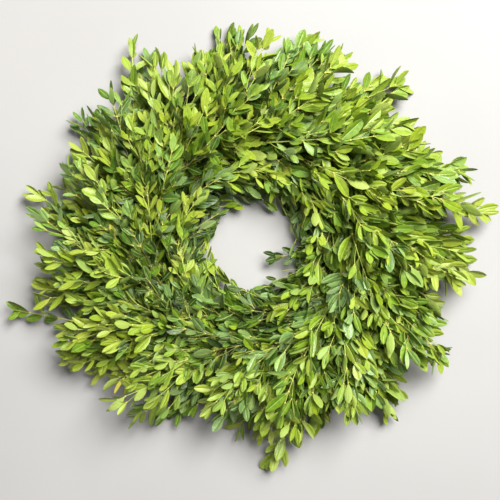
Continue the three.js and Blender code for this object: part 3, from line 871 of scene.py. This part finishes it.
def leaf_finish():
    """The leaf's colour, a roughness of its own plus spots, and a relief of waves, side veins
    and midrib. A side vein is a power of a sine of the place along, slanting across."""
    material, tree, shader = new_material("boxwood_leaf")
    along, across = place_on(tree)
    from_rib = maths(tree, "ABSOLUTE", maths(tree, "SUBTRACT", across, 0.5))
    slant = maths(tree, "MULTIPLY_ADD", from_rib, VEIN_SLANT, maths(tree, "MULTIPLY", along, VEINS))
    wave = maths(tree, "SINE", maths(tree, "MULTIPLY", slant, np.pi))
    vein = maths(tree, "POWER", maths(tree, "ABSOLUTE", wave), VEIN_POWER)
    own = maths(tree, "FRACT", maths(tree, "MULTIPLY", attribute(tree, "chance"), OWN_FACTOR))
    spots = span(tree, noise(tree, SPOTS), *SPOT_SPAN)
    rough = maths(tree, "ADD", spots, span(tree, own, *OWN_SPAN))
    rough = maths(tree, "MULTIPLY_ADD", attribute(tree, "underside"), BELOW_DULLER, rough)
    waves = maths(tree, "MULTIPLY", noise(tree, WAVES), WAVE_HEIGHT)
    height = maths(tree, "MULTIPLY_ADD", vein, VEIN_HEIGHT, waves)
    height = maths(tree, "SUBTRACT", height, span(tree, from_rib, *RIB_HEIGHT))
    finish(tree, shader, leaf_colour(tree, along, from_rib, vein), rough, height, LEAF_BUMP)
    for name, value in LEAF_SHINE.items():
        shader.inputs[name].default_value = value
    return material


LEAF = leaf_finish()
print("leaf finish:", len(LEAF.node_tree.nodes), "nodes")

# %% [markdown]
# ## The finish of the stems
# Young bark is green, and further back it is duller and browner. The nodes between leaf pairs
# are tan, and a cut end shows pale wood. Each could have its own material, but the mesh already
# says how old a point is and where it lies, so one is enough.

# %% The bark finish
BARK_AGES = [
    (0.0, srgb(168, 192, 78)), (0.35, srgb(176, 192, 82)),
    (0.7, srgb(168, 174, 76)), (1.0, srgb(118, 120, 54)),
]
NODE = (1.4, 1.6, 0.0, 0.9), srgb(212, 200, 106)
CUT = (0.0, 0.02, 0.9, 0.0), srgb(214, 204, 158)
BLOTCHES, BLOTCH_AGES, BLOTCH_GLOSS = 420, (0.3, 0.7, -0.12, 0.12), (0.3, 0.7, 0.5, 0.75)
GRAIN, GRAIN_BUMP = 900, (0.5, 0.0003)


def bark_finish():
    """The age ramp, where blotches move the age, with tints on nodes and at the cut end, and
    roughness from the same blotches."""
    material, tree, shader = new_material("boxwood_bark")
    blotches, along = noise(tree, BLOTCHES), place_on(tree)[0]
    moved = span(tree, blotches, *BLOTCH_AGES)
    bark = ramp(tree, maths(tree, "ADD", attribute(tree, "age"), moved, clamp=True), BARK_AGES)
    bark = tinted(tree, tinted(tree, bark, along, NODE), along, CUT)
    rough = span(tree, blotches, *BLOTCH_GLOSS)
    finish(tree, shader, bark, rough, noise(tree, GRAIN), GRAIN_BUMP)
    return material


BARK = bark_finish()
print("bark finish:", len(BARK.node_tree.nodes), "nodes")

# %% [markdown]
# ## The finish of the wires
# Both wires are painted green to vanish under the leaves, and worn paint is duller and paler.
# Wear could be painted on by hand, but the wires are thin and nearly hidden, so noise is enough.

# %% The wire finish
WEAR, WEAR_DETAIL, WEAR_SPAN = 180, 5.0, (0.52, 0.7, 0.0, 0.6)
WORN_ROUGHER, WIRE_METAL = 0.25, 0.35
DENTS, DENT_BUMP = 500, (0.3, 0.0002)


def wire_finish(name, paint, worn, rough):
    """Paint whose colour and roughness go towards those of worn paint in spots."""
    material, tree, shader = new_material(name)
    wear = span(tree, noise(tree, WEAR, WEAR_DETAIL), *WEAR_SPAN)
    rougher = span(tree, wear, *WEAR_SPAN[2:], rough, rough + WORN_ROUGHER)
    finish(tree, shader, mix(tree, wear, paint, worn), rougher, noise(tree, DENTS), DENT_BUMP)
    shader.inputs["Metallic"].default_value = WIRE_METAL
    return material


FRAME_PAINT = wire_finish("frame_wire_paint", srgb(44, 74, 51), srgb(96, 104, 92), 0.42)
TIE_PAINT = wire_finish("tying_wire_paint", srgb(60, 90, 58), srgb(110, 112, 96), 0.38)
print("finishes:", [material.name for material in bpy.data.materials if material.use_nodes])

# %% [markdown]
# ## Put the bunches in place
# Every bunch becomes one piece, its leaves and stems in one mesh with two finishes. Leaves could
# be pieces of their own, but one mesh is far lighter to handle. The stems go on behind the tie
# to their cut ends, as under the real wire.

# %% Cut ends, nodes and stems
CUT_END, CUT_POINTS = (11, 18), 2
BUD_SIDES, BUD_SIZE, BUD_LONG = 4, 1.1, 1.5
# The place along that marks a node for the bark finish.
BUD_PLACE = (2.0, 0.0)


def with_cut_end(line, azimuth, length):
    """A sprig's line with a straight stretch added behind its root, to its cut end."""
    back = -around(azimuth - 90, 1, 0)
    share = np.linspace(1, 1 / CUT_POINTS, CUT_POINTS)[:, None]
    return np.concatenate([line[0] + share * length * back, line])


def buds_family(leaves):
    """The swollen node between two leaves of a pair: one ring of four points and two poles,
    carried along with the pair."""
    spot, heading = leaves["spot"][::2], leaves["heading"][::2]
    size = BUD_SIZE * leaves["length"][::2, None] / LEAF_LENGTH
    upper = unit(UP - heading * heading[:, 2:])
    flank = np.cross(upper, heading)
    ring = np.stack([flank, upper, -flank, -upper], 1) * size[:, None] + spot[:, None]
    ends = np.stack([spot - BUD_LONG * size * heading, spot + BUD_LONG * size * heading], 1)
    points, faces = np.concatenate([ring, ends], 1), sleeve_faces(1, BUD_SIDES)
    age, chance = leaves["age"][::2, None], leaves["chance"][::2]
    return family_of(points, faces, age, chance, BUD_PLACE, BARK_SLOT)


def stems_family(stems, sides, rng):
    """The rods of stems: half thickness and age go evenly from root to tip."""
    lines = np.array([stem["line"] for stem in stems])
    share = np.linspace(0, 1, lines.shape[1])[None, :]
    ends = np.array([stem["thick"] for stem in stems])
    ages = np.array([[stem["root_age"], stem["tip_age"]] for stem in stems])
    radius = ends[:, :1] + (ends[:, 1:] - ends[:, :1]) * share
    age = np.clip(ages[:, :1] + (ages[:, 1:] - ages[:, :1]) * share, 0, 1)
    return rod_family(lines, radius, age, sides, BARK_SLOT, rng.random(len(stems)))


print("stems go on behind the tie by", CUT_END, "mm")

# %% Build the forty-five bunches
STEM_SEED, ROW_SEED = 5000, 100
SPRIG_SIDES, SHOOT_SIDES = 5, 4
# No leaf is lower than the ground or higher than the ceiling.
GROUND, CEILING = 0.6, 77


def bunch_families(row_name, row_index, station):
    """The leaves, nodes, shoots and sprigs of a bunch, each kind as a family of shapes."""
    rng = np.random.default_rng(STEM_SEED + ROW_SEED * row_index + station)
    sprigs, shoots, leaves = grow_bunch(row_name, row_index, station)
    families = [leaf_family(leaves, GROUND, CEILING), buds_family(leaves)]
    families.append(stems_family(shoots, SHOOT_SIDES, rng))
    for sprig in sprigs:
        cut = rng.uniform(*CUT_END)
        sprig["line"] = with_cut_end(sprig["line"], station * STATION_STEP, cut)
    for points in {len(sprig["line"]) for sprig in sprigs}:
        alike = [sprig for sprig in sprigs if len(sprig["line"]) == points]
        families.append(stems_family(alike, SPRIG_SIDES, rng))
    return families


leaf_total = 0
for row_index, row_name in enumerate(ROWS):
    for station in range(STATIONS):
        families = bunch_families(row_name, row_index, station)
        node = f"{row_name}_bunch_{station + 1:02d}"
        piece = put_mesh(f"{node}_sprigs", families, [LEAF, BARK])
        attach(piece, "root")
        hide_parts(node)
        leaf_total += len(families[0]["points"])
print("leaves:", leaf_total)

# %% [markdown]
# ## The wire frame and the tying wire
# The frame is four rings of round wire in a shallow arch, welded to five cross wires. The tying
# wire is one thin wire, over the stems at each station and under the frame to the next. Ready
# rings could be added from a menu, but the stems' rods serve too. A ring's two ends overlap.

# %% The rings and the wires
# The radius and height of each ring, and of the corners of one turn of the tying wire.
RINGS = ((89, 2.3), (102, 11.5), (114, 11.5), (127, 2.3))
TIE_TURN = (
    (85.5, 0.55), (85.5, 5.6), (91, 12.4), (108, 18.9), (125, 12.4), (130.5, 5.6), (130.5, 0.55),
)
CROSS_WIRES = 5
# Half thicknesses, and how far from a corner the tying wire bends.
RING_WIRE, CROSS_WIRE, TIE_WIRE, TIE_BEND = 1.2, 1.1, 0.55, 1.6
WIRE_SIDES, RING_POINTS, BEND_POINTS = 10, 145, 3


def rounded(corners, reach):
    """A line with its corners cut to parabolas, from reach before each to reach after it."""
    before, after = np.roll(corners, 1, 0), np.roll(corners, -1, 0)
    share = np.linspace(0, 1, BEND_POINTS)[None, :, None]
    start = corners + unit(before - corners) * reach
    end = corners + unit(after - corners) * reach
    arcs = (1 - share) ** 2 * start[:, None] + 2 * share * (1 - share) * corners[:, None]
    arcs = arcs + share**2 * end[:, None]
    return arcs[1:-1].reshape(-1, 3)


def wire_family(lines, thick):
    """Round wires of one thickness along lines of equally many points."""
    radius, age = np.full(lines.shape[:2], thick), np.zeros(lines.shape[:2])
    return rod_family(lines, radius, age, WIRE_SIDES, 0, np.zeros(len(lines)))


turns = np.linspace(0, 360, RING_POINTS)
ring_lines = np.array([[around(a, r, h) for a in turns] for r, h in RINGS])
azimuths = [i * 360 / CROSS_WIRES + STATION_STEP / 2 for i in range(CROSS_WIRES)]
cross_lines = np.array([[around(a, r, h) for r, h in RINGS] for a in azimuths])
frame_wires = [wire_family(ring_lines, RING_WIRE), wire_family(cross_lines, CROSS_WIRE)]
frame_piece = put_mesh("wire_frame_rings", frame_wires, [FRAME_PAINT])
corners = np.array([around(i * STATION_STEP, r, h) for i in range(STATIONS) for r, h in TIE_TURN])
tie_line = rounded(corners, TIE_BEND)
tie_piece = put_mesh("tying_wire_turns", [wire_family(tie_line[None], TIE_WIRE)], [TIE_PAINT])
for piece, node, slot in (
    (frame_piece, "wire_frame", "frame_wire"), (tie_piece, "tying_wire", "tie_wire"),
):
    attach(piece, "root")
    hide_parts(node)
print("wire points:", ring_lines.size // 3, "tying wire points:", len(tie_line))

# %% [markdown]
# ## Floor, light and camera
# The wreath lies on a plain pale floor. A large soft lamp at the upper right casts soft shadows
# to the lower left, and a weak one at the left and an even glow lighten them. A sun would be
# simpler, but its shadows are sharp. The camera looks straight down.

# %% Set the stage
FLOOR_SIZE, FLOOR_PLACE, FLOOR_ROUGH = 12.0, (0, 0, -0.0005), 0.8
FLOOR_NOISE, FLOOR_TINTS = 3.0, [(0.3, srgb(170, 168, 165)), (0.7, srgb(177, 175, 172))]
# The name, place, size and power of each lamp.
LAMPS = [
    ("window_light", (0.72, 0.88, 1.72), 1.22, 104),
    ("fill_light", (-0.9, -0.3, 1.4), 1.4, 4),
]
LAMP_TARGET = (0, 0, 0.03)
ROOM_TINT, ROOM_STRENGTH = (1.0, 1.0, 0.97, 1), 0.045
# The camera sees this width at this height above the ground.
SEEN_WIDTH, SEEN_HEIGHT = 0.520, 0.035
CAMERA_PLACE, CAMERA_HEIGHT, SENSOR = (-0.0005, -0.0045), 0.95, 36.0


def soft_lamp(name, place, size, power):
    """A square lamp, tilted by the angle between straight down and the way to its target, and
    then turned to the target's side."""
    data = bpy.data.lights.new(name, "AREA")
    data.size, data.energy = size, power
    lamp = bpy.data.objects.new(name, data)
    lamp.location = place
    way = np.array(LAMP_TARGET) - np.array(place)
    tilt = np.arccos(-way[2] / np.linalg.norm(way))
    side = np.arctan2(way[1], way[0]) + np.pi * 1.5
    lamp.rotation_euler = (tilt, 0, side)
    bpy.context.scene.collection.objects.link(lamp)


bpy.ops.mesh.primitive_plane_add(size=FLOOR_SIZE, location=FLOOR_PLACE)
floor = bpy.context.object
floor.name = "floor"
material, tree, shader = new_material("pale_floor")
tint = ramp(tree, noise(tree, FLOOR_NOISE), FLOOR_TINTS)
tree.links.new(tint, shader.inputs["Base Color"])
shader.inputs["Roughness"].default_value = FLOOR_ROUGH
floor.data.materials.append(material)
floor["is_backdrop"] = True
for lamp in LAMPS:
    soft_lamp(*lamp)
world = bpy.data.worlds.new("room_light")
world.use_nodes = True
glow = world.node_tree.nodes["Background"].inputs
glow[0].default_value, glow[1].default_value = ROOM_TINT, ROOM_STRENGTH
bpy.context.scene.world = world
bpy.context.scene.view_settings.view_transform = "Standard"
lens_data = bpy.data.cameras.new("camera")
lens_data.sensor_width = SENSOR
lens_data.lens = SENSOR * (CAMERA_HEIGHT - SEEN_HEIGHT) / SEEN_WIDTH
camera = bpy.data.objects.new("camera", lens_data)
camera.location = (*CAMERA_PLACE, CAMERA_HEIGHT)
bpy.context.scene.collection.objects.link(camera)
bpy.context.scene.camera = camera
print("lens:", round(lens_data.lens, 1), "mm")

# %% [markdown]
# ## Count the triangles
# The counts show what the scene costs.

# %% Count the triangles
shown = [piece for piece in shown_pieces() if not piece.hide_render and piece.type == "MESH"]
triangles = [sum(len(face.vertices) - 2 for face in piece.data.polygons) for piece in shown]
print("triangles:", sum(triangles), "most in one piece:", max(triangles))
